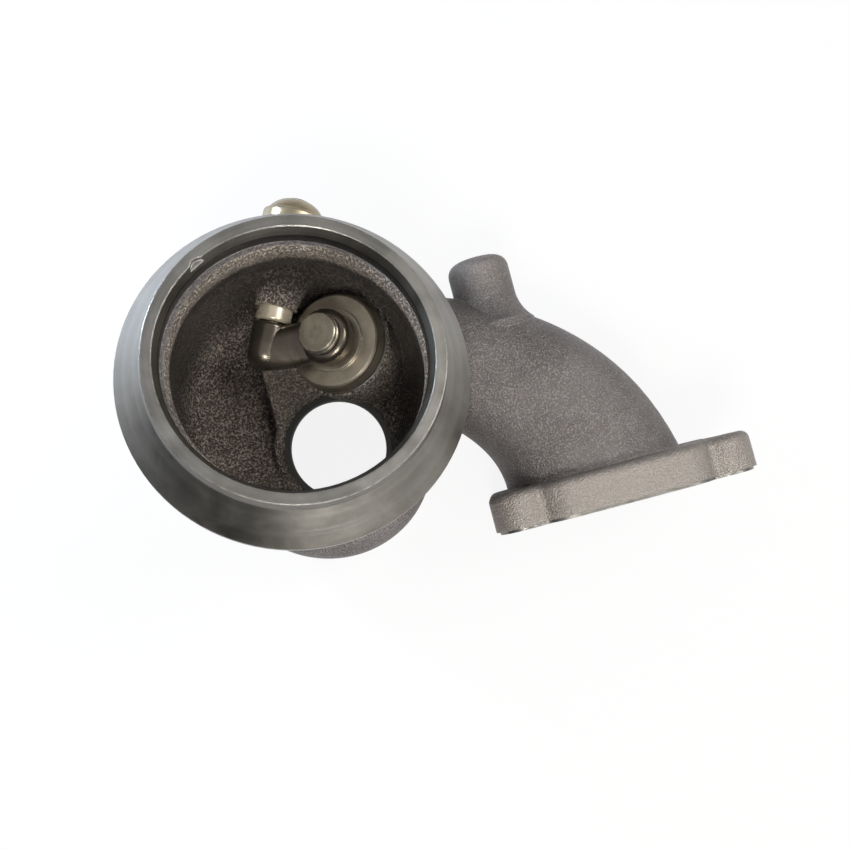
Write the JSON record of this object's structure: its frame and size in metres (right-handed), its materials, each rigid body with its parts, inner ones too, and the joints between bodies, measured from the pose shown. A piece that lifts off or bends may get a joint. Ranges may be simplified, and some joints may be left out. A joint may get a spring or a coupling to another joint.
{
  "type": "turbocharger turbine housing",
  "caption": "Cast turbine housing with a bolted inlet flange, a shrinking scroll, an angled clamp-ring outlet and a built-in poppet wastegate with its outside crank lever.",
  "frame": {"origin": "on the turbine axis, at the machined face that meets the bearing housing", "axes": "+Z along the turbine axis towards the outlet, -Y the way the inlet flange faces"},
  "size_m": [0.1755, 0.1139, 0.0998],
  "materials": {
    "cast_housing": "shot-blasted casting with machined cone, land and bores",
    "bushing_steel": "turned",
    "arm_steel": "investment-cast, tumbled",
    "valve_steel": "turned",
    "lever_steel": "pressed, with a straw heat tint",
    "pin_steel": "turned"
  },
  "bodies": {
    "housing": {"turbine_housing": "cast_housing", "spindle_bushing": "bushing_steel"},
    "arm": {"wastegate_arm": "arm_steel", "crank_lever": "lever_steel", "crank_pin": "pin_steel", "spindle_seal": "bushing_steel"},
    "poppet": {"valve_poppet": "valve_steel", "poppet_washer": "valve_steel"}
  },
  "joints": [
    {"name": "wastegate_swing", "type": "hinge", "parent": "housing", "child": "arm", "pos_m": [-0.01229, 0.03318, 0.05263], "axis": [-0.4384, -0.8988, 0], "range_deg": [0, 40]},
    {"name": "poppet_spin", "type": "hinge", "parent": "arm", "child": "poppet", "pos_m": [0.00826, 0.02872, 0.05069], "axis": [-0.3713, 0.1811, 0.9107], "continuous": true}
  ]
}
